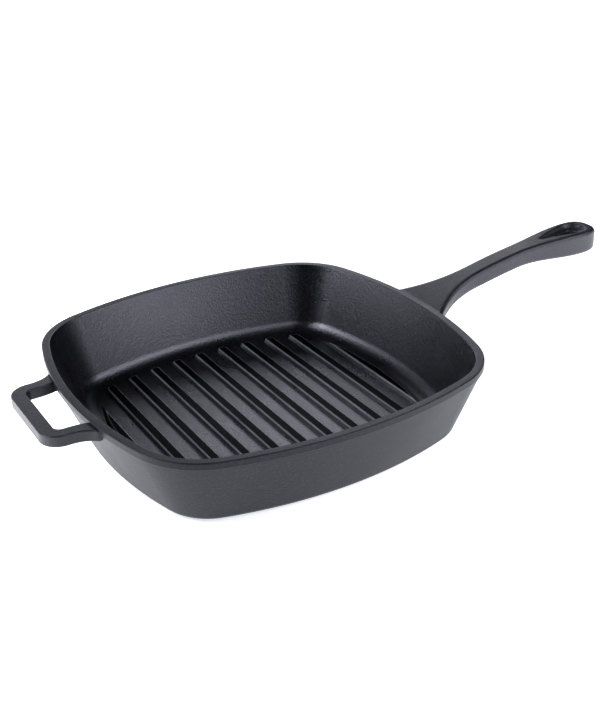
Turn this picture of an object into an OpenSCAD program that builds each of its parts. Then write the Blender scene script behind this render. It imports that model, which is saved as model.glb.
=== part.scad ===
// Square grill pan in cast iron: a flared, bow-sided body with raised ribs across the floor,
// a long handle with a hanging hole, and a loop handle opposite. The casting is drawn as
// regions that meet face to face. X runs along the handles, Z is up, and the origin is the
// centre of the flat base.

/* [Body] */
// Width over the rim, along the handles
pan_w = 260; // [210:1:320]
// Depth over the rim, square to the handles
pan_d = 255; // [206:1:314]
// Height of the rim above the surface that the pan stands on
pan_h = 51; // [40:0.5:70]
// Radius of the rim's four corners
corner_r = 53; // [44:1:60]
// Radius that the four sides bow to at the rim
side_r = 283; // [240:1:600]
// How far the wall leans out from base to rim
flare = 19.2; // [10:0.1:24]
// Thickness of the wall at the floor, square to its outer face
wall_t = 5; // [3.5:0.1:6]
// Thickness of the floor
floor_t = 3.8; // [3:0.1:6]
// Radius outside, where the wall turns under to the base
foot_r = 7; // [4:0.5:9]
// Radius inside, where the floor turns up into the wall
fillet_r = 12; // [6:0.5:14]

/* [Rim] */
// Width of the rim's flat top
rim_w = 5.4; // [4.5:0.1:7]
// Height of the thickened band under the flat top
rim_h = 4.5; // [3:0.1:8]
// How far the band stands out from the wall
rim_proud = 0.8; // [0.4:0.1:1.5]
// Radius on the band's two top edges
rim_edge_r = 0.8; // [0.3:0.1:1.2]

/* [Grill ribs] */
// Number of ribs
rib_count = 11; // [7:1:13]
// Width of a rib at its foot
rib_w = 8.2; // [5:0.1:9]
// Width of a rib at its top
rib_top_w = 6.8; // [3:0.1:7.4]
// Chamfer on a rib's two top edges
rib_edge = 0.8; // [0.3:0.1:1.2]
// Height of a rib above the floor
rib_h = 2.8; // [1.5:0.1:5]
// Clear floor between the ribs and the inside fillet
rib_gap = 2; // [1:0.1:6]

/* [Long handle] */
// Length from the rim to the tip
grip_len = 158; // [120:1:200]
// Width where the handle fans out into the wall
root_w = 54; // [40:1:64]
// Width at the waist
waist_w = 16.5; // [14:0.5:22]
// Width at the widest place, near the tip
palm_w = 27.5; // [22:0.5:34]
// Distance from the rim over which the fan narrows to the waist
fan_len = 52; // [40:1:70]
// Distance from the rim to the start of the swell
swell_start = 84; // [76:1:100]
// Thickness where the handle meets the wall
root_t = 10; // [8:0.2:14]
// Thickness at the waist
waist_t = 12.8; // [10:0.2:16]
// Thickness at the tip
tip_t = 17.2; // [12:0.2:18.4]
// Drop of the handle's top below the rim where they meet
root_drop = 1; // [0.5:0.1:3]
// Rise of the handle's top from root to tip
grip_rise = 24.4; // [10:0.2:40]
// How sharply the rise bends over towards the tip, where 1 is straight
grip_bow = 2.2; // [1:0.1:3]
// Length of the rounded tip
tip_round = 17; // [12:0.5:24]
// Radius on the upper edges of the handle
top_edge_r = 2; // [1:0.1:3]
// Radius on the lower edges of the handle
under_edge_r = 4.5; // [3:0.1:5]
// Radius on the lower edges where the handle meets the wall
root_edge_r = 8; // [4:0.2:9]

/* [Hanging hole] */
// Distance from the tip to the centre of the hole's round end
hole_back = 17.5; // [15:0.5:24]
// Radius of the hole's round end
hole_r = 4.6; // [3:0.1:5.5]
// Radius of the hole's narrow end
hole_nose_r = 2; // [1:0.1:3]
// Length between the two centres
hole_len = 12; // [6:0.5:18]
// Flat width left between the scoop around the hole and the handle's edge
scoop_border = 4.6; // [3:0.1:7]
// Length of the scoop from its round end's centre to its pointed end
scoop_len = 35; // [26:0.5:44]
// Depth of the scoop
scoop_depth = 3.6; // [1:0.1:6]
// Width of the scoop's floor around the hole
scoop_lip = 0.6; // [0.2:0.1:1.5]

/* [Loop handle] */
// Reach of the loop beyond the rim
loop_reach = 26.8; // [22:0.2:40]
// Width of the loop where it meets the wall
loop_root_w = 85; // [60:0.5:100]
// Width of the loop near its outer corners
loop_end_w = 73.5; // [56:0.5:90]
// Radius of the loop's outer corners
loop_corner_r = 13; // [8:0.5:16]
// Radius of the finger gap's corners
gap_corner_r = 6; // [3:0.5:8]
// Width of the outer bar
loop_bar_w = 9.4; // [7:0.1:12]
// Width of the two side bars at the wall
loop_arm_w = 12.5; // [8:0.1:16]
// Width of the two side bars near the outer corners
loop_arm_end_w = 8.8; // [6:0.1:11]
// Thickness of the loop
loop_t = 7.4; // [6:0.1:11]
// Drop of the loop's top below the rim
loop_drop = 2; // [1:0.1:6]
// Chamfer on the loop's edges
loop_edge = 0.8; // [0.3:0.1:1.5]

/* [Hidden] */
RIBS = [for (i = [1:rib_count]) str("grill_rib_", i < 10 ? "0" : "", i)];

casting = "#3b3d40";
ground_iron = "#4a4a4c";
rib_iron = "#26282b";

// Outline of the rim: four bowed sides and four corners, each an arc tangent to its neighbours.
// An arc is [centre x, centre y, radius, first angle, last angle].
side_steps = 10;
corner_steps = 10;
half_w = pan_w / 2;
half_d = pan_d / 2;
off_x = side_r - half_w;
off_y = side_r - half_d;
half_gap = norm([off_x, off_y]) / 2;
reach = sqrt(pow(side_r - corner_r, 2) - pow(half_gap, 2)) / (2 * half_gap);
cx = reach * off_y - off_x / 2;
cy = reach * off_x - off_y / 2;
t1 = atan2(cy, cx + off_x);
t2 = atan2(cy + off_y, cx);
ARCS = [
    [-off_x, 0, side_r, -t1, t1, side_steps],
    [cx, cy, corner_r, t1, t2, corner_steps],
    [0, -off_y, side_r, t2, 180 - t2, side_steps],
    [-cx, cy, corner_r, 180 - t2, 180 - t1, corner_steps],
    [off_x, 0, side_r, 180 - t1, 180 + t1, side_steps],
    [-cx, -cy, corner_r, 180 + t1, 180 + t2, corner_steps],
    [0, off_y, side_r, 180 + t2, 360 - t2, side_steps],
    [cx, -cy, corner_r, 360 - t2, 360 - t1, corner_steps],
];
ring_n = 4 * (side_steps + corner_steps);

// The rim's outline moved inwards by inset
function outline(inset) = [
    for (a = ARCS) for (i = [0:a[5] - 1])
        let (t = a[3] + (a[4] - a[3]) * i / a[5])
            [a[0] + (a[2] - inset) * cos(t), a[1] + (a[2] - inset) * sin(t)]
];

// Wall section: x is the inset from the rim's outline, y is the height. The outer face runs
// straight from base to band, and the inner face straight from the floor to the rim's top.
band_z = pan_h - rim_h;
lean = atan((flare - rim_proud) / band_z);
function wall_out(z) = flare - z * tan(lean);
inner_run = wall_out(floor_t) + wall_t / cos(lean) - rim_w;
inner_lean = atan(inner_run / (pan_h - floor_t));
function wall_inner(z) = rim_w + (pan_h - z) * tan(inner_lean);
function tangent(r, angle) = r * tan(45 - angle / 2);
foot_in = flare + tangent(foot_r, lean);
floor_in = wall_inner(floor_t) + tangent(fillet_r, inner_lean);
function arc(x, y, r, from, to, n) = [
    for (i = [0:n]) let (t = from + (to - from) * i / n) [x + r * cos(t), y + r * sin(t)]
];
FOOT = arc(foot_in, foot_r, foot_r, 270, 180 + lean, 5);
FILLET = arc(floor_in, floor_t + fillet_r, fillet_r, 180 + inner_lean, 270, 7);
WALL = concat(
    [[floor_in, 0]], FOOT,
    [[rim_proud, band_z], [wall_inner(band_z), band_z]], FILLET
);
RIM = concat(
    [[rim_proud, band_z], [rim_proud / 2, band_z], [0, band_z + rim_proud / 2]],
    arc(rim_edge_r, pan_h - rim_edge_r, rim_edge_r, 180, 90, 3),
    arc(rim_w - tangent(rim_edge_r, inner_lean), pan_h - rim_edge_r, rim_edge_r, 90, inner_lean, 3),
    [[wall_inner(band_z), band_z]]
);
BODY = concat(FOOT, [for (i = [0:4]) RIM[i]], [[rim_edge_r, pan_h]]);

function ring_points(section) = [
    for (s = section) for (p = outline(s[0])) [p[0], p[1], s[1]]
];
function ring_faces(from, to) = [
    for (i = [0:ring_n - 1])
        let (a = from * ring_n + i, b = from * ring_n + (i + 1) % ring_n,
             c = to * ring_n + i, d = to * ring_n + (i + 1) % ring_n)
            each [[a, c, d], [a, d, b]]
];

// A closed section carried round the outline
module ring(section) {
    n = len(section);
    polyhedron(ring_points(section), [for (k = [0:n - 1]) each ring_faces(k, (k + 1) % n)], 8);
}

// An open section carried round the outline, closed below and above
module filled(section) {
    n = len(section);
    polyhedron(ring_points(section), concat(
        [[for (i = [0:ring_n - 1]) i]],
        [for (k = [0:n - 2]) each ring_faces(k, k + 1)],
        [[for (i = [ring_n - 1:-1:0]) (n - 1) * ring_n + i]]
    ), 8);
}

// Ribs
rib_in = floor_in + rib_gap;
rib_span = pan_w - 2 * rib_in - rib_w;
rib_pitch = rib_span / (rib_count - 1);

// Long handle: stations along X, each a flat-topped section with rounded edges, which
// shrink with the width towards the tip
rim_x = half_w;
tip_x = rim_x + grip_len;
root_x = rim_x - flare;
top_z = pan_h - root_drop;
fan_power = 2.4;
nose_power = 2.6;
top_edge_share = 0.5;
under_edge_share = 0.7;
function along(x) = min(1, max(0, (x - rim_x) / grip_len));
function waist(x) = min(1, max(0, (x - rim_x) / fan_len));
function ease(u) = let (v = min(1, max(0, u))) v * v * (3 - 2 * v);
function fan(x) = pow(1 - waist(x), fan_power);
function swell(x) = ease((x - rim_x - swell_start) / (grip_len - swell_start - tip_round));
function nose(x) = let (u = max(0, (x - tip_x + tip_round) / tip_round))
    pow(1 - pow(u, nose_power), 1 / nose_power);
function grip_half(x) = nose(x) *
    (waist_w + (palm_w - waist_w) * swell(x) + (root_w - waist_w) * fan(x)) / 2;
function grip_top(x) = let (u = along(x))
    top_z + grip_rise * (1 - pow(1 - u, grip_bow));
function grip_thick(x) = root_t + (waist_t - root_t) * waist(x) + (tip_t - waist_t) * swell(x);
function lower_r(x) = root_edge_r + (under_edge_r - root_edge_r) * waist(x);

edge_steps = 3;
function grip_section(x) =
    let (w = grip_half(x), t = grip_thick(x), z = grip_top(x),
         a = min(top_edge_r, w * top_edge_share), b = min(lower_r(x), w * under_edge_share))
    concat(
        [for (i = [0:edge_steps]) let (q = 90 * i / edge_steps)
            [x, w - a + a * sin(q), z - a + a * cos(q)]],
        [for (i = [0:edge_steps]) let (q = 90 * i / edge_steps)
            [x, w - b + b * cos(q), z - t + b - b * sin(q)]],
        [for (i = [edge_steps:-1:0]) let (q = 90 * i / edge_steps)
            [x, -(w - b + b * cos(q)), z - t + b - b * sin(q)]],
        [for (i = [edge_steps:-1:0]) let (q = 90 * i / edge_steps)
            [x, -(w - a + a * sin(q)), z - a + a * cos(q)]]
    );
section_n = 4 * (edge_steps + 1);
body_steps = 26;
nose_steps = 8;
nose_stop = 88;
GRIP_X = concat(
    [for (i = [0:body_steps]) root_x + (tip_x - tip_round - root_x) * i / body_steps],
    [for (i = [1:nose_steps]) tip_x - tip_round + tip_round * sin(nose_stop * i / nose_steps)]
);

module grip_blank() {
    n = len(GRIP_X);
    polyhedron([for (x = GRIP_X) each grip_section(x)], concat(
        [[for (j = [section_n - 1:-1:0]) j]],
        [for (k = [0:n - 2]) for (j = [0:section_n - 1])
            let (a = k * section_n + j, b = k * section_n + (j + 1) % section_n,
                 c = a + section_n, d = b + section_n)
                each [[a, b, d], [a, d, c]]],
        [[for (j = [0:section_n - 1]) (n - 1) * section_n + j]]
    ), 8);
}

// Hanging hole and the scoop that leads into it
hole_x = tip_x - hole_back;
scoop_r = palm_w / 2 - scoop_border;
scoop_top = grip_top(tip_x) + 1;
scoop_floor = grip_top(hole_x) - scoop_depth;
through = 2 * tip_t;

module hanging_hole() {
    hull() {
        translate([hole_x, 0, scoop_top - through]) cylinder(h = through, r = hole_r, $fn = 32);
        translate([hole_x - hole_len, 0, scoop_top - through])
            cylinder(h = through, r = hole_nose_r, $fn = 32);
    }
}

module scoop() {
    hull() {
        translate([hole_x, 0, scoop_floor])
            cylinder(h = scoop_top - scoop_floor, r1 = hole_r + scoop_lip, r2 = scoop_r, $fn = 32);
        translate([hole_x - scoop_len, 0, grip_top(hole_x - scoop_len)])
            cylinder(h = 2, r = 1, $fn = 16);
    }
}

// Loop handle outlines: x runs outwards from the wall
loop_x = -rim_x - loop_reach;
loop_z = pan_h - loop_drop;
arm_x = rim_x - wall_out(loop_z - loop_t);
arm_steps = 8;
arm_power = 2.8;
// A bar that flares into the wall, then turns a corner of radius r at its outer end
function half_loop(end_x, root_half, end_half, r) = concat(
    [[-root_x, root_half]],
    [for (i = [0:arm_steps]) let (v = 1 - i / arm_steps)
        [-arm_x + (1 - v) * (end_x + r + arm_x), end_half + (root_half - end_half) * pow(v, arm_power)]],
    [for (i = [1:arm_steps]) let (q = 90 * i / arm_steps)
        [end_x + r - r * sin(q), end_half - r + r * cos(q)]]
);
function both_sides(half) = concat(half, [for (i = [len(half) - 1:-1:0]) [half[i][0], -half[i][1]]]);
LOOP = half_loop(loop_x, loop_root_w / 2, loop_end_w / 2, loop_corner_r);
GAP = half_loop(loop_x + loop_bar_w, loop_root_w / 2 - loop_arm_w,
    loop_end_w / 2 - loop_arm_end_w, gap_corner_r);

module loop_slab(z, h, inset) {
    translate([0, 0, loop_z - loop_t + z]) linear_extrude(h) difference() {
        offset(delta = -inset) polygon(both_sides(LOOP));
        offset(delta = inset) polygon(both_sides(GAP));
    }
}

module base_plate() {
    color(casting) linear_extrude(floor_t) polygon(outline(floor_in));
}

module side_wall() {
    color(casting) ring(WALL);
}

module rim() {
    color(ground_iron) ring(RIM);
}

module grill_rib(i) {
    x = -rib_span / 2 + (i - 1) * rib_pitch;
    color(rib_iron) intersection() {
        translate([x, half_d, floor_t]) rotate([90, 0, 0]) linear_extrude(pan_d) polygon([
            [-rib_w / 2, 0], [rib_w / 2, 0],
            [rib_top_w / 2, rib_h - rib_edge], [rib_top_w / 2 - rib_edge, rib_h],
            [rib_edge - rib_top_w / 2, rib_h], [-rib_top_w / 2, rib_h - rib_edge]
        ]);
        translate([0, 0, floor_t]) linear_extrude(rib_h) polygon(outline(rib_in));
    }
}

module long_handle() {
    color(casting) difference() {
        grip_blank();
        filled(BODY);
        scoop();
        hanging_hole();
    }
}

module loop_handle() {
    color(casting) difference() {
        union() {
            loop_slab(0, loop_edge, loop_edge / 2);
            loop_slab(loop_edge, loop_t - 2 * loop_edge, 0);
            loop_slab(loop_t - loop_edge, loop_edge, loop_edge / 2);
        }
        filled(BODY);
    }
}

base_plate();
side_wall();
rim();
long_handle();
loop_handle();
for (i = [1:rib_count]) grill_rib(i);
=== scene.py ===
import math

import bmesh
import bpy
from mathutils import Matrix, Vector


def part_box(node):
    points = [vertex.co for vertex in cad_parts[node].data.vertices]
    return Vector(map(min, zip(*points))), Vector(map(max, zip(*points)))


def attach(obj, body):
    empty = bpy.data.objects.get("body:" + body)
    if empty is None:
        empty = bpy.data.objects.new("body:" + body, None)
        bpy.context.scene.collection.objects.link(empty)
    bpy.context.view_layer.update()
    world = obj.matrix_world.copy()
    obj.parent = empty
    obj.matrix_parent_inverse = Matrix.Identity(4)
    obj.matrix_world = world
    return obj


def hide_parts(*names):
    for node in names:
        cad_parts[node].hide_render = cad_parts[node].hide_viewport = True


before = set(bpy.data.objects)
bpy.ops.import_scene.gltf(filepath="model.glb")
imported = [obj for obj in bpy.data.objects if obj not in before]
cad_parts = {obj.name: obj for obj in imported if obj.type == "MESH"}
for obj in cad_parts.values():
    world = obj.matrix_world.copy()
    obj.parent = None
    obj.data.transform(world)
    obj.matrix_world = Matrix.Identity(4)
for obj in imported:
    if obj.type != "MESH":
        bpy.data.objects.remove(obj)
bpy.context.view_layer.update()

mm = 0.001

# ---- Wall ----
# The flared wall of the casting: grey iron, poured in a sand mould with the rest of the pan.
# Its section is drawn once beside the +X side, a foot radius outside and a fillet inside, and is
# then carried round the outline, which is eight arcs that meet without a corner.
RIM_LOW, RIM_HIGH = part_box("rim")
HALF_W = RIM_HIGH.x
HALF_D = RIM_HIGH.y
PAN_H = RIM_HIGH.z
CORNER_R = 53 * mm
SIDE_R = 283 * mm
SIDE_STEPS = 28
CORNER_STEPS = 28
FLARE = 19.2 * mm
WALL_T = 5 * mm
FLOOR_T = 3.8 * mm
FOOT_R = 7 * mm
FILLET_R = 12 * mm
RIM_W = 5.4 * mm
BAND_H = PAN_H - RIM_LOW.z
BAND_PROUD = 0.8 * mm
SEAM = 2 * mm
# Points closer than this are one point
TOUCHING = 0.01 * mm

off_x = SIDE_R - HALF_W
off_y = SIDE_R - HALF_D
half_gap = math.hypot(off_x, off_y) / 2
reach = math.sqrt((SIDE_R - CORNER_R) ** 2 - half_gap**2) / (2 * half_gap)
corner_x = reach * off_y - off_x / 2
corner_y = reach * off_x - off_y / 2
turn_x = math.atan2(corner_y, corner_x + off_x)
turn_y = math.atan2(corner_x, corner_y + off_y)
turn_c = math.pi / 2 - turn_x - turn_y
# Each arc is its centre, how far it turns and in how many steps
ROUND = [
    (-off_x, 0, turn_x, SIDE_STEPS // 2),
    (corner_x, corner_y, turn_c, CORNER_STEPS),
    (0, -off_y, 2 * turn_y, SIDE_STEPS),
    (-corner_x, corner_y, turn_c, CORNER_STEPS),
    (off_x, 0, 2 * turn_x, SIDE_STEPS),
    (-corner_x, -corner_y, turn_c, CORNER_STEPS),
    (0, off_y, 2 * turn_y, SIDE_STEPS),
    (corner_x, -corner_y, turn_c, CORNER_STEPS),
    (-off_x, 0, turn_x, SIDE_STEPS // 2),
]

band_z = PAN_H - BAND_H
lean = math.atan2(FLARE - BAND_PROUD, band_z)
outer_at_floor = FLARE - FLOOR_T * math.tan(lean)
inner_at_floor = outer_at_floor + WALL_T / math.cos(lean)
inner_lean = math.atan2(inner_at_floor - RIM_W, PAN_H - FLOOR_T)
inner_at_band = RIM_W + BAND_H * math.tan(inner_lean)


def tangent(radius, angle):
    """How far a rounded corner of a leaning wall reaches along its flat side."""
    return radius * math.tan(math.pi / 4 - angle / 2)


floor_edge = inner_at_floor + tangent(FILLET_R, inner_lean)
seam_in = floor_edge + SEAM


def draw(name, outline, close=True):
    """A new piece: a small plane merged to one point, then extruded from corner to corner."""
    bpy.ops.object.select_all(action="DESELECT")
    bpy.ops.mesh.primitive_plane_add(size=mm, location=outline[0])
    piece = bpy.context.object
    piece.name = piece.data.name = name
    bpy.ops.object.transform_apply(location=True, rotation=True, scale=True)
    bpy.ops.object.mode_set(mode="EDIT")
    bpy.ops.mesh.select_mode(type="VERT")
    bpy.ops.mesh.select_all(action="SELECT")
    bpy.ops.mesh.merge(type="CENTER")
    for here, there in zip(outline, outline[1:]):
        step = Vector(there) - Vector(here)
        bpy.ops.mesh.extrude_region_move(TRANSFORM_OT_translate={"value": step})
    if close:
        bpy.ops.mesh.select_all(action="SELECT")
        bpy.ops.mesh.edge_face_add()
    return piece


def pick(piece, kind, wanted):
    """Selects the vertices, edges or faces whose middle (and normal, for a face) is wanted."""
    bpy.ops.mesh.select_mode(type=kind)
    bpy.ops.mesh.select_all(action="DESELECT")
    mesh = bmesh.from_edit_mesh(piece.data)
    if kind == "VERT":
        for vertex in mesh.verts:
            vertex.select_set(wanted(vertex.co))
    if kind == "EDGE":
        for edge in mesh.edges:
            edge.select_set(wanted((edge.verts[0].co + edge.verts[1].co) / 2))
    if kind == "FACE":
        for face in mesh.faces:
            face.select_set(wanted(face.calc_center_median(), face.normal))
    mesh.select_flush_mode()
    bmesh.update_edit_mesh(piece.data)


def round_corner(piece, corner, reach_back, segments):
    """Rounds one corner of a flat outline, starting this far back from it."""
    place = Vector(corner)
    pick(piece, "VERT", lambda at: (at - place).length < TOUCHING)
    bpy.ops.mesh.bevel(offset=reach_back, segments=segments, affect="VERTICES")


def carry_round(piece):
    """Carries the outline drawn beside the +X side round the pan, and joins its two ends."""
    bpy.ops.mesh.select_all(action="SELECT")
    bpy.ops.mesh.delete(type="ONLY_FACE")
    bpy.ops.mesh.select_all(action="SELECT")
    for x, y, angle, steps in ROUND:
        bpy.ops.mesh.spin(steps=steps, angle=angle, center=(x, y, 0), axis=(0, 0, -1))
    bpy.ops.mesh.select_all(action="SELECT")
    bpy.ops.mesh.remove_doubles(threshold=TOUCHING)


def finish_piece(piece, smooth_below=40):
    """Turns faces outwards, shades curves smooth and keeps the flats flat."""
    if piece.mode == "OBJECT":
        bpy.ops.object.mode_set(mode="EDIT")
    bpy.ops.mesh.select_all(action="SELECT")
    bpy.ops.mesh.normals_make_consistent(inside=False)
    bpy.ops.object.mode_set(mode="OBJECT")
    bpy.ops.object.shade_smooth_by_angle(angle=math.radians(smooth_below))
    bpy.ops.object.modifier_add(type="WEIGHTED_NORMAL")
    piece.modifiers[-1].keep_sharp = True
    piece.modifiers[-1].weight = 80
    bpy.ops.object.modifier_apply(modifier=piece.modifiers[-1].name)


def beside(inset, z):
    """A point of a section: inset from the rim's outline at the middle of the +X side."""
    return (HALF_W - inset, 0, z)


foot = beside(FLARE, 0)
inside_corner = beside(inner_at_floor, FLOOR_T)
wall = draw("pan_wall", [
    beside(seam_in, 0),
    foot,
    beside(BAND_PROUD, band_z),
    beside(inner_at_band, band_z),
    inside_corner,
    beside(seam_in, FLOOR_T),
])
round_corner(wall, foot, tangent(FOOT_R, lean), 8)
round_corner(wall, inside_corner, tangent(FILLET_R, inner_lean), 12)
carry_round(wall)
finish_piece(wall)


def to_linear(code):
    """An sRGB hex colour as linear light."""
    parts = [int(code[i : i + 2], 16) / 255 for i in (1, 3, 5)]
    return tuple(c / 12.92 if c <= 0.04045 else ((c + 0.055) / 1.055) ** 2.4 for c in parts) + (1,)


def add_node(tree, kind, settings=(), **links):
    """Adds a node. Settings are attributes or inputs by name, and links are outputs to plug in."""
    node = tree.nodes.new(kind)
    for name, value in dict(settings).items():
        if isinstance(name, str) and hasattr(node, name):
            setattr(node, name, value)
        else:
            node.inputs[name].default_value = value
    for name, output in links.items():
        tree.links.new(output, node.inputs[name.replace("_", " ")])
    return node


# Cast iron: sand-cast, so it has a fine pebbled skin, under baked-on oil. The oil film is a near
# black with a satin sheen. The skin breaks that sheen into a soft grain and shows as paler specks
# where the film is thin, and the sheen wanders a little where the oil pooled. Real sand grain is
# finer than this grit, which is drawn as coarse as it needs to be to show.
GRIT = 1.5 * mm
POOLING = 34 * mm
FILM_STOPS = (0.35, 0.68)
SPECK_FROM = 0.52
SPECK_FULL = 0.72


def cast_iron(name, dark, light, rough_low, rough_high, grain_depth, gloss, speck="#29292e"):
    """One finish of the iron: its film's two tones and roughnesses, grain, gloss and specks."""
    material = bpy.data.materials.new(name)
    material.use_nodes = True
    tree = material.node_tree
    shader = tree.nodes["Principled BSDF"]
    place = add_node(tree, "ShaderNodeTexCoord").outputs["Object"]
    pooling = add_node(
        tree, "ShaderNodeTexNoise", {"Scale": 1 / POOLING, "Detail": 3, "Roughness": 0.6},
        Vector=place,
    ).outputs["Fac"]
    grit = add_node(
        tree, "ShaderNodeTexNoise", {"Scale": 1 / GRIT, "Detail": 4, "Roughness": 0.65},
        Vector=place,
    ).outputs["Fac"]
    film = add_node(tree, "ShaderNodeValToRGB", Fac=pooling)
    for stop, position, tone in zip(film.color_ramp.elements, FILM_STOPS, (dark, light)):
        stop.position = position
        stop.color = to_linear(tone)
    thin = add_node(
        tree, "ShaderNodeMapRange",
        {"From Min": SPECK_FROM, "From Max": SPECK_FULL, "To Min": 0, "To Max": 1},
        Value=grit,
    )
    # A Mix node's colour sockets are 6 and 7, and its colour result is output 2
    skin = add_node(tree, "ShaderNodeMix", {"data_type": "RGBA", 7: to_linear(speck)})
    tree.links.new(thin.outputs["Result"], skin.inputs[0])
    tree.links.new(film.outputs["Color"], skin.inputs[6])
    tree.links.new(skin.outputs[2], shader.inputs["Base Color"])
    sheen = add_node(
        tree, "ShaderNodeMapRange",
        {"From Min": 0.3, "From Max": 0.7, "To Min": rough_low, "To Max": rough_high},
        Value=pooling,
    )
    tree.links.new(sheen.outputs["Result"], shader.inputs["Roughness"])
    bump = add_node(
        tree, "ShaderNodeBump", {"Strength": 1.0, "Distance": grain_depth}, Height=grit
    )
    tree.links.new(bump.outputs["Normal"], shader.inputs["Normal"])
    shader.inputs["IOR"].default_value = 1.5
    shader.inputs["Specular IOR Level"].default_value = gloss
    shader.inputs["Specular Tint"].default_value = to_linear("#eeeefa")
    return material


# Inside, oil is baked on in layers: the blackest finish, with a satin sheen that draws the fillet
seasoned = cast_iron("seasoned_cast_iron", "#030305", "#08080b", 0.25, 0.32, 0.24 * mm, 1.0)
# Outside, the skin has one thin coat: flatter, and a little paler
outside = cast_iron("outside_cast_iron", "#0e0e11", "#17171b", 0.36, 0.43, 0.17 * mm, 0.36)
wall.data.materials.append(seasoned)
wall.data.materials.append(outside)


def give_faces(piece, slot, wanted):
    """Gives the wanted faces the material in this slot."""
    bpy.ops.object.mode_set(mode="EDIT")
    pick(piece, "FACE", wanted)
    piece.active_material_index = slot
    bpy.ops.object.material_slot_assign()
    bpy.ops.object.mode_set(mode="OBJECT")


# The outer faces and the underside
give_faces(wall, 1, lambda at, normal: normal.x * at.x + normal.y * at.y > 0 or normal.z < -0.5)
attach(wall, "root")
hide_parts("side_wall")

# ---- Floor ----
# The flat floor inside the wall's fillet, part of the same casting. It is a plate with the same
# outline, spun from one upright edge and closed above and below.
floor_plate = draw("pan_floor", [beside(seam_in, 0), beside(seam_in, FLOOR_T)], close=False)
carry_round(floor_plate)
for level in (0, FLOOR_T):
    pick(floor_plate, "EDGE", lambda at: abs(at.z - level) < TOUCHING)
    bpy.ops.mesh.edge_face_add()
finish_piece(floor_plate)
floor_plate.data.materials.append(seasoned)
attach(floor_plate, "root")
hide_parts("base_plate")

# ---- Rim ----
# The thickened band round the top of the wall, standing a little proud outside, with a flat top
# that is fettled on a belt after casting and so has a finer grain.
BAND_EDGE_R = 0.8 * mm
rim_outer = beside(0, PAN_H)
rim_inner = beside(RIM_W, PAN_H)
rim_lip = beside(0, band_z + BAND_PROUD / 2)
rim = draw("pan_rim", [
    beside(inner_at_band, band_z),
    beside(BAND_PROUD, band_z),
    beside(BAND_PROUD / 2, band_z),
    rim_lip,
    rim_outer,
    rim_inner,
])
round_corner(rim, rim_outer, BAND_EDGE_R, 4)
round_corner(rim, rim_inner, tangent(BAND_EDGE_R, inner_lean), 4)
carry_round(rim)
finish_piece(rim)
# The belt leaves a finer grain than the sand does, so the rim reads as an even dark grey line
fettled = cast_iron("fettled_cast_iron", "#101013", "#18181c", 0.34, 0.42, 0.12 * mm, 0.36)
for finish in (fettled, seasoned, outside):
    rim.data.materials.append(finish)
# Faces that lean further than this belong to the band's inner and outer sides
SIDEWAYS = 0.4
give_faces(rim, 1, lambda at, normal: normal.x * at.x + normal.y * at.y < -SIDEWAYS * at.length)
give_faces(rim, 2, lambda at, normal: normal.x * at.x + normal.y * at.y > SIDEWAYS * at.length)
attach(rim, "root")
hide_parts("rim")

# ---- Grill ribs ----
# Eleven bars raised from the floor, cast with it, with a small fillet at the foot, sloping sides
# so that the pattern leaves the sand, and rounded tops. Each is cut as a strip from one shape of
# the ribbed field, and then built up by insets.
RIB_COUNT = 11
RIB_W = 8.2 * mm
RIB_TOP_W = 6.8 * mm
RIB_H = 2.8 * mm
RIB_GAP = 2 * mm
RIB_END_R = 2.4 * mm
RIB_FOOT_R = 0.7 * mm
RIB_TOP_R = 0.9 * mm
# Points of the outline this close to a rib's cut corners are cleared away, or its insets would
# cross. The outermost ribs run along the outline, so they need more room.
RIB_CLEAR = 3.2 * mm
OUTER_RIB_CLEAR = 26 * mm
rib_in = floor_edge + RIB_GAP
rib_span = 2 * (HALF_W - rib_in) - RIB_W
rib_pitch = rib_span / (RIB_COUNT - 1)

field = draw("rib_field", [beside(rib_in - RIB_FOOT_R, FLOOR_T)], close=False)
carry_round(field)
bpy.ops.mesh.edge_face_add()
if bmesh.from_edit_mesh(field.data).faces[0].normal.z < 0:
    bpy.ops.mesh.flip_normals()
bpy.ops.object.mode_set(mode="OBJECT")

# The side of a rib as (how far in, how far up) steps: foot fillet, slope, rounded top
BEND = [math.radians(a) for a in (0, 22.5, 45, 67.5, 90)]
rib_side = []
for low, high in zip(BEND, BEND[1:]):
    rib_side.append((
        RIB_FOOT_R * (math.sin(high) - math.sin(low)),
        RIB_FOOT_R * (math.cos(low) - math.cos(high)),
    ))
slope_h = RIB_H - RIB_FOOT_R - RIB_TOP_R
rib_side.append(((RIB_W - RIB_TOP_W) / 2, slope_h))
for low, high in zip(BEND, BEND[1:]):
    rib_side.append((
        RIB_TOP_R * (math.cos(low) - math.cos(high)),
        RIB_TOP_R * (math.sin(high) - math.sin(low)),
    ))

RIB_EDGE_Z = FLOOR_T + RIB_H - RIB_TOP_R
# The rounded edges get a pale finish, a painted highlight that draws them as thin light lines
edge_highlight_finish = cast_iron("rib_edge_painted_highlight", "#4c4c52", "#6a6a70", 0.36, 0.46, 0.05 * mm, 1.0)
# The tops get a near-black finish with hardly any sheen, painted shade that draws them as black
# stripes between those lines
crest_shade_finish = cast_iron("rib_crest_painted_shade", "#020203", "#030304", 0.22, 0.28, 0.1 * mm, 0.01, "#0c0c0f")


def nearest(at, points):
    """How far away the closest of these points is."""
    return min((at - point).length for point in points)


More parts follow.
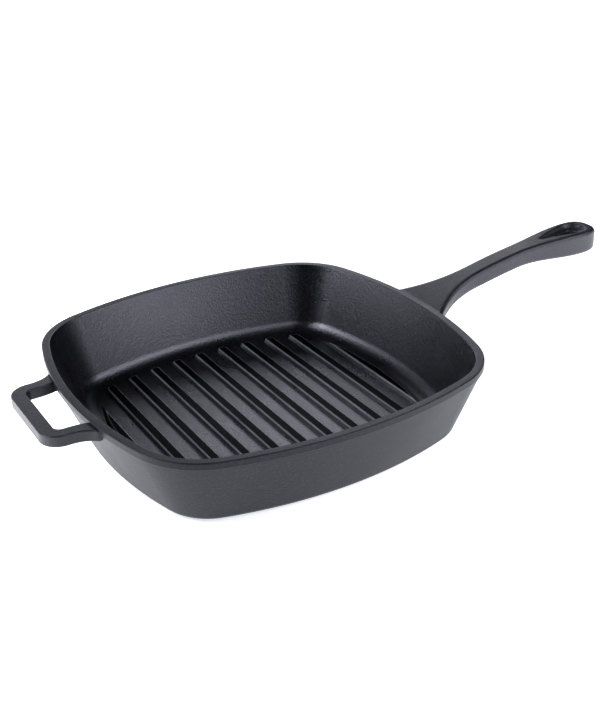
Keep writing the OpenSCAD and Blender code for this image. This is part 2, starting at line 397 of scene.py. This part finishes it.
for number in range(1, RIB_COUNT + 1):
    bpy.ops.object.select_all(action="DESELECT")
    field.select_set(True)
    bpy.context.view_layer.objects.active = field
    bpy.ops.object.duplicate()
    rib = bpy.context.object
    rib.name = rib.data.name = f"grill_bar_{number:02d}"
    middle = -rib_span / 2 + (number - 1) * rib_pitch
    half = RIB_W / 2 + RIB_FOOT_R
    bpy.ops.object.mode_set(mode="EDIT")
    for side in (-1, 1):
        bpy.ops.mesh.select_all(action="SELECT")
        bpy.ops.mesh.bisect(
            plane_co=(middle + side * half, 0, 0), plane_no=(side, 0, 0), clear_outer=True
        )
    cut = [
        v.co.copy() for v in bmesh.from_edit_mesh(rib.data).verts
        if abs(abs(v.co.x - middle) - half) < TOUCHING
    ]
    outermost = number in (1, RIB_COUNT)
    clear = OUTER_RIB_CLEAR if outermost else RIB_CLEAR
    pick(rib, "VERT", lambda at: TOUCHING < nearest(at, cut) < clear)
    bpy.ops.mesh.dissolve_verts()
    if not outermost:
        pick(rib, "VERT", lambda at: nearest(at, cut) < TOUCHING)
        bpy.ops.mesh.bevel(offset=RIB_END_R + RIB_FOOT_R, segments=6, affect="VERTICES")
    bpy.ops.mesh.select_mode(type="FACE")
    bpy.ops.mesh.select_all(action="SELECT")
    for inwards, up in rib_side:
        bpy.ops.mesh.inset(thickness=inwards, depth=up, use_even_offset=True)
    pick(rib, "EDGE", lambda at: abs(at.z - FLOOR_T) < TOUCHING)
    bpy.ops.mesh.edge_face_add()
    finish_piece(rib)
    for finish in (seasoned, edge_highlight_finish, crest_shade_finish):
        rib.data.materials.append(finish)
    # Painted highlight on the rounded faces above the top edges
    give_faces(rib, 1, lambda at, normal: at.z > RIB_EDGE_Z)
    # Painted shade on the flat tops
    give_faces(rib, 2, lambda at, normal: at.z > RIB_EDGE_Z and normal.z > 0.99)
    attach(rib, "root")
    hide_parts(f"grill_rib_{number:02d}")
bpy.data.objects.remove(field)

# ---- Long handle ----
# The grip, cast in one with the wall. It fans out into the wall, rises to a bowed palm, and ends
# in a rounded tip. Its plan is drawn flat, cut into lengths, drawn down to its thickness, bowed
# length by length, and its edges are then rounded.
TIP_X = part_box("long_handle")[1].x
ROOT_X = HALF_W - 5.2 * mm
ROOT_W = 54 * mm
WAIST_W = 16.5 * mm
PALM_W = 27.5 * mm
FAN_LEN = 52 * mm
FAN_POWER = 2.4
SWELL_START = 84 * mm
TIP_ROUND = 17 * mm
TIP_POWER = 2.6
ROOT_T = 10 * mm
WAIST_T = 12.8 * mm
TIP_T = 17.2 * mm
ROOT_DROP = 1 * mm
GRIP_RISE = 24.4 * mm
GRIP_BOW = 2.2
GRIP_TOP_R = 3 * mm
GRIP_UNDER_R = 3.8 * mm
# Below, the root thickens towards the wall along part of a round
JOIN_R = 3 * mm
JOIN_START = 2 * mm
JOIN_SHARE = 0.6
grip_len = TIP_X - HALF_W


def waist(x):
    """How far this is on the way from the wall (0) to the waist (1)."""
    return min(1, max(0, (x - HALF_W) / FAN_LEN))


def swell(x):
    """How far the palm has swollen here, from 0 at the waist to 1 before the tip."""
    share = (x - HALF_W - SWELL_START) / (grip_len - SWELL_START - TIP_ROUND)
    share = min(1, max(0, share))
    return share * share * (3 - 2 * share)


def grip_half(x):
    """Half the grip's width."""
    fan = (ROOT_W - WAIST_W) * (1 - waist(x)) ** FAN_POWER
    return (WAIST_W + (PALM_W - WAIST_W) * swell(x) + fan) / 2


def grip_top(x):
    """The height of the grip's top along its bow."""
    along = min(1, max(0, (x - HALF_W) / grip_len))
    return PAN_H - ROOT_DROP + GRIP_RISE * (1 - (1 - along) ** GRIP_BOW)


def grip_thick(x):
    """The grip's thickness."""
    join = max(0, 1 - max(0, x - HALF_W + JOIN_START) / JOIN_R)
    root = JOIN_R * (1 - math.sqrt(1 - join**2)) * JOIN_SHARE
    return ROOT_T + (WAIST_T - ROOT_T) * waist(x) + (TIP_T - WAIST_T) * swell(x) + root


STATIONS = 44
TIP_STEPS = 14
tip_start = TIP_X - TIP_ROUND
stations = [ROOT_X + (tip_start - ROOT_X) * i / STATIONS for i in range(STATIONS + 1)]
half_plan = [(x, grip_half(x)) for x in stations]
for i in range(1, TIP_STEPS + 1):
    turn = math.pi / 2 * i / TIP_STEPS
    out = math.sin(turn) ** (2 / TIP_POWER)
    across = math.cos(turn) ** (2 / TIP_POWER)
    half_plan.append((tip_start + TIP_ROUND * out, PALM_W / 2 * across))
far_side = [(x, -y, 0) for x, y in half_plan[-2::-1]]
grip = draw("handle_grip", [(x, y, 0) for x, y in half_plan] + far_side)
bpy.ops.mesh.extrude_region_move(TRANSFORM_OT_translate={"value": (0, 0, -TIP_T)})
bpy.ops.mesh.select_all(action="SELECT")
bpy.ops.mesh.normals_make_consistent(inside=False)


def round_edge(piece, up, radius, segments):
    """Rounds the edge all round the faces that look up (1) or down (-1)."""
    pick(piece, "FACE", lambda at, normal: normal.z * up > 0.9)
    bpy.ops.mesh.region_to_loop()
    bpy.ops.mesh.bevel(offset=radius, segments=segments, clamp_overlap=False)


round_edge(grip, 1, GRIP_TOP_R, 5)
round_edge(grip, -1, GRIP_UNDER_R, 6)
for x, y in half_plan[1:-1]:
    bpy.ops.mesh.select_all(action="SELECT")
    bpy.ops.mesh.bisect(plane_co=(x, 0, 0), plane_no=(1, 0, 0))
bpy.ops.object.mode_set(mode="OBJECT")
# Every length is now lifted to the bow, and its underside drawn up to the thickness there
for vertex in grip.data.vertices:
    x = vertex.co.x
    thinner = TIP_T - grip_thick(x) if vertex.co.z < -TIP_T / 2 else 0
    vertex.co.z += grip_top(x) + thinner

HOLE_X = TIP_X - 17.5 * mm
HOLE_R = 4.6 * mm
HOLE_LEN = 12 * mm
HOLE_NOSE_R = 2 * mm
SCOOP_R = PALM_W / 2 - 4.6 * mm
SCOOP_LEN = 35 * mm
SCOOP_NOSE_R = 1.6 * mm
SCOOP_DEPTH = 3.6 * mm
SCOOP_OPENING = 1.05
SCOOP_CLOSING = 0.45
MOULD_ABOVE = 2 * mm
HOLE_ABOVE = 3 * mm
HOLE_CUT = 30 * mm


def teardrop(round_r, length, nose_r, z):
    """A teardrop round the hole's centre, its nose towards the pan."""
    turn = math.pi - math.acos((round_r - nose_r) / length)
    points = []
    for i in range(41):
        at = turn * (i / 20 - 1)
        points.append((HOLE_X + round_r * math.cos(at), round_r * math.sin(at), z))
    for i in range(11):
        at = turn + 2 * (math.pi - turn) * i / 10
        points.append((HOLE_X - length + nose_r * math.cos(at), nose_r * math.sin(at), z))
    return points


# The scoop's mould: a teardrop drawn down level by level, steep at its edge and flat at its floor
scoop_z = grip_top(HOLE_X)
scoop = draw(
    "scoop_mould",
    teardrop(SCOOP_R * SCOOP_OPENING, SCOOP_LEN, SCOOP_NOSE_R, scoop_z + MOULD_ABOVE),
)
levels = [(-MOULD_ABOVE, 1)]
for deep in (0, 0.25, 0.5, 0.7, 0.85, 0.95, 1):
    levels.append((deep * SCOOP_DEPTH, 1 - SCOOP_CLOSING * (1 - math.sqrt(1 - deep))))
for (z_from, wide_from), (z_to, wide_to) in zip(levels, levels[1:]):
    step = (0, 0, z_from - z_to)
    wider = wide_to / wide_from
    bpy.ops.mesh.extrude_region_move(TRANSFORM_OT_translate={"value": step})
    bpy.ops.transform.resize(value=(wider, wider, 1), center_override=(HOLE_X, 0, scoop_z))
bpy.ops.mesh.select_all(action="SELECT")
bpy.ops.mesh.normals_make_consistent(inside=False)
bpy.ops.object.mode_set(mode="OBJECT")

hole = draw("hole_mould", teardrop(HOLE_R, HOLE_LEN, HOLE_NOSE_R, scoop_z + HOLE_ABOVE))
bpy.ops.mesh.extrude_region_move(TRANSFORM_OT_translate={"value": (0, 0, -HOLE_CUT)})
bpy.ops.mesh.select_all(action="SELECT")
bpy.ops.mesh.normals_make_consistent(inside=False)
bpy.ops.object.mode_set(mode="OBJECT")


def apply_to(piece, kind, **settings):
    """Adds a modifier with these settings and applies it."""
    bpy.ops.object.select_all(action="DESELECT")
    piece.select_set(True)
    bpy.context.view_layer.objects.active = piece
    bpy.ops.object.modifier_add(type=kind)
    modifier = piece.modifiers[-1]
    for name, value in settings.items():
        setattr(modifier, name, value)
    bpy.ops.object.modifier_apply(modifier=modifier.name)


for mould in (scoop, hole):
    apply_to(grip, "BOOLEAN", operation="DIFFERENCE", solver="EXACT", object=mould)
    bpy.data.objects.remove(mould)
# As cast, no edge is sharp: an even skin over the whole grip, then softened a little
GRIP_SKIN = 0.65 * mm
apply_to(grip, "REMESH", mode="VOXEL", voxel_size=GRIP_SKIN)
apply_to(grip, "SMOOTH", factor=0.5, iterations=5)
finish_piece(grip, smooth_below=75)
# Handling wears the oil thin, so both handles are paler than the pan and softly satin
handled = cast_iron("handled_cast_iron", "#131315", "#1c1c1e", 0.36, 0.44, 0.2 * mm, 0.6)
grip.data.materials.append(handled)
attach(grip, "root")
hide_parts("long_handle")

# ---- Loop handle ----
# The helper handle opposite, a flat bar bent round a finger gap, cast in one with the wall. Its
# outer and inner edges are drawn as one outline, then drawn down to the bar's thickness.
LOOP_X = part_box("loop_handle")[0].x
LOOP_T = 7.4 * mm
LOOP_TOP = PAN_H - 2 * mm
LOOP_ROOT_W = 85 * mm
LOOP_END_W = 73.5 * mm
LOOP_CORNER_R = 13 * mm
GAP_CORNER_R = 4.5 * mm
LOOP_BAR_W = 9.4 * mm
LOOP_ARM_W = 12.5 * mm
LOOP_ARM_END_W = 8.8 * mm
LOOP_EDGE_R = 0.9 * mm
ARM_POWER = 2.8
ARM_STEPS = 14
arm_x = -HALF_W + FLARE - (LOOP_TOP - LOOP_T) * math.tan(lean)
loop_root_x = -ROOT_X


def half_loop(end_x, root_half, end_half, corner_r):
    """One side of the loop's edge, from the wall out to the middle of the end bar."""
    points = [(loop_root_x, root_half)]
    for i in range(ARM_STEPS + 1):
        out = i / ARM_STEPS
        y = end_half + (root_half - end_half) * (1 - out) ** ARM_POWER
        points.append((arm_x + out * (end_x + corner_r - arm_x), y))
    for i in range(1, ARM_STEPS + 1):
        turn = math.pi / 2 * i / ARM_STEPS
        x = end_x + corner_r * (1 - math.sin(turn))
        points.append((x, end_half - corner_r * (1 - math.cos(turn))))
    return points


def both_sides(half):
    """The whole edge, from one side of it."""
    return [(x, y, LOOP_TOP) for x, y in half] + [(x, -y, LOOP_TOP) for x, y in half[::-1]]


outer = both_sides(half_loop(LOOP_X, LOOP_ROOT_W / 2, LOOP_END_W / 2, LOOP_CORNER_R))
inner = both_sides(half_loop(
    LOOP_X + LOOP_BAR_W,
    LOOP_ROOT_W / 2 - LOOP_ARM_W,
    LOOP_END_W / 2 - LOOP_ARM_END_W,
    GAP_CORNER_R,
))
loop = draw("handle_loop", outer + inner[::-1])
bpy.ops.mesh.extrude_region_move(TRANSFORM_OT_translate={"value": (0, 0, -LOOP_T)})
bpy.ops.mesh.select_all(action="SELECT")
bpy.ops.mesh.normals_make_consistent(inside=False)
round_edge(loop, 1, LOOP_EDGE_R, 4)
round_edge(loop, -1, LOOP_EDGE_R, 4)
finish_piece(loop, smooth_below=60)
loop.data.materials.append(handled)
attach(loop, "root")
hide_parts("loop_handle")

# ---- Studio floor ----
# A white sheet of paper on a light table. It glows evenly under the pan, and more strongly towards
# the front on the right and towards the back on the left. It lies a hair lower than the pan, so that
# the two never share a face.
PAPER_SIZE = 12
PAPER_DROP = 0.4 * mm
bpy.ops.object.select_all(action="DESELECT")
bpy.ops.mesh.primitive_plane_add(size=PAPER_SIZE, location=(0, 0, -PAPER_DROP))
sweep = bpy.context.object
sweep.name = sweep.data.name = "studio_floor"
bpy.ops.object.transform_apply(location=True, rotation=True, scale=True)
FLOOR_GLOW = 0.7
FRONT_GLOW = 2.1
FRONT_REACH = 0.42
BACK_GLOW = 3.4
BACK_REACH = 0.3
FAR_GLOW = 0.6
FAR_START = 0.6


def ramp_along(tree, place, start, towards, low, high):
    """A value that goes smoothly from low at start to high one length of towards further on."""
    away = add_node(tree, "ShaderNodeVectorMath", {"operation": "SUBTRACT", 1: start})
    tree.links.new(place, away.inputs[0])
    along = add_node(tree, "ShaderNodeVectorMath", {"operation": "DOT_PRODUCT", 1: towards})
    tree.links.new(away.outputs[0], along.inputs[0])
    size = sum(t * t for t in towards)
    shade = add_node(
        tree, "ShaderNodeMapRange",
        {
            "interpolation_type": "SMOOTHSTEP",
            "From Min": 0, "From Max": size, "To Min": low, "To Max": high,
        },
        Value=along.outputs["Value"],
    )
    return shade.outputs["Result"]


# White paper: matt, and lit from below, so that the pan stands on plain white without a hard shadow
paper = bpy.data.materials.new("white_paper")
paper.use_nodes = True
sheet = paper.node_tree
paper_shader = sheet.nodes["Principled BSDF"]
paper_shader.inputs["Base Color"].default_value = to_linear("#f4f4f4")
paper_shader.inputs["Roughness"].default_value = 0.9
paper_shader.inputs["Emission Color"].default_value = (0.94, 0.95, 1, 1)
spot = add_node(sheet, "ShaderNodeTexCoord").outputs["Object"]
to_front = (FRONT_REACH, -FRONT_REACH, 0)
to_back = (-BACK_REACH, BACK_REACH, 0)
front = ramp_along(sheet, spot, (0, 0, 0), to_front, FLOOR_GLOW, FLOOR_GLOW + FRONT_GLOW)
behind = ramp_along(sheet, spot, (0, 0, 0), to_back, 0, BACK_GLOW)
beyond = ramp_along(sheet, spot, (0, FAR_START, 0), (0, FAR_START, 0), 0, FAR_GLOW)
glow = front
for more in (behind, beyond):
    both = add_node(sheet, "ShaderNodeMath", {"operation": "ADD"})
    sheet.links.new(glow, both.inputs[0])
    sheet.links.new(more, both.inputs[1])
    glow = both.outputs[0]
sheet.links.new(glow, paper_shader.inputs["Emission Strength"])
sweep.data.materials.append(paper)

# ---- Camera ----
# A normal lens, a little above and to the left of the pan, tipped by a degree or two.
CAMERA_TURN = math.radians(-29.932)
CAMERA_RISE = math.radians(26.687)
CAMERA_ROLL = math.radians(-1.903)
CAMERA_FAR = 763.608 * mm
CAMERA_AIM = Vector((40.925, 15.776, 25)) * mm
CAMERA_LENS = 56.067
CAMERA_SENSOR = 36
back = Vector((
    math.sin(CAMERA_TURN) * math.cos(CAMERA_RISE),
    -math.cos(CAMERA_TURN) * math.cos(CAMERA_RISE),
    math.sin(CAMERA_RISE),
))
bpy.ops.object.camera_add(location=CAMERA_AIM + back * CAMERA_FAR)
camera = bpy.context.object
looking = back.to_track_quat("Z", "Y").to_matrix()
camera.rotation_euler = (looking @ Matrix.Rotation(CAMERA_ROLL, 3, "Z")).to_euler()
camera.data.sensor_width = CAMERA_SENSOR
camera.data.lens = CAMERA_LENS
camera.data.clip_start = 0.01
bpy.context.scene.camera = camera

# ---- Light ----
# Soft boxes of one size stand round the pan in a dim room. Each is given by how far round it
# stands (0 in front, 90 on the right), how high it is seen from the pan, and its power.
BOX_FAR = 1.5
BOX_WIDE = 0.75
BOX_TALL = 0.6
BOX_AIM = Vector((0, 0, 0.05))
COOL_WHITE = (0.91, 0.93, 1.0)
ROOM_GLOW = 0.01


def soft_box(name, turn, rise, watts):
    """A soft box that faces the pan."""
    turn = math.radians(turn)
    rise = math.radians(rise)
    towards = Vector((
        math.sin(turn) * math.cos(rise), -math.cos(turn) * math.cos(rise), math.sin(rise)
    ))
    bpy.ops.object.light_add(type="AREA", location=BOX_AIM + towards * BOX_FAR)
    lamp = bpy.context.object
    lamp.name = lamp.data.name = name
    lamp.rotation_euler = towards.to_track_quat("Z", "Y").to_euler()
    lamp.data.shape = "RECTANGLE"
    lamp.data.size = BOX_WIDE
    lamp.data.size_y = BOX_TALL
    lamp.data.energy = watts
    lamp.data.color = COOL_WHITE


soft_box("front_box", 0, 38, 3.3)
soft_box("front_low_box", 25, 12, 3.6)
soft_box("front_right_box", 45, 38, 8.0)
soft_box("front_right_low_box", 45, 12, 1.5)
soft_box("back_right_box", 146, 26, 3.6)
soft_box("back_low_box", 180, 12, 2.6)
soft_box("back_left_low_box", 225, 12, 2.3)
soft_box("left_box", 250, 38, 16.4)
soft_box("left_low_box", 250, 12, 1.0)

# The room itself gives almost no light, and past the paper there is a plain white backdrop
world = bpy.data.worlds.new("studio_room")
bpy.context.scene.world = world
world.use_nodes = True
room = world.node_tree
room.nodes["Background"].inputs["Strength"].default_value = ROOM_GLOW
backdrop = add_node(room, "ShaderNodeBackground", {"Color": (1, 1, 1, 1), "Strength": 1.0})
seen = add_node(room, "ShaderNodeLightPath").outputs["Is Camera Ray"]
blend = add_node(room, "ShaderNodeMixShader")
room.links.new(seen, blend.inputs[0])
room.links.new(room.nodes["Background"].outputs[0], blend.inputs[1])
room.links.new(backdrop.outputs[0], blend.inputs[2])
room.links.new(blend.outputs[0], room.nodes["World Output"].inputs[0])

bpy.context.scene.view_settings.view_transform = "Standard"
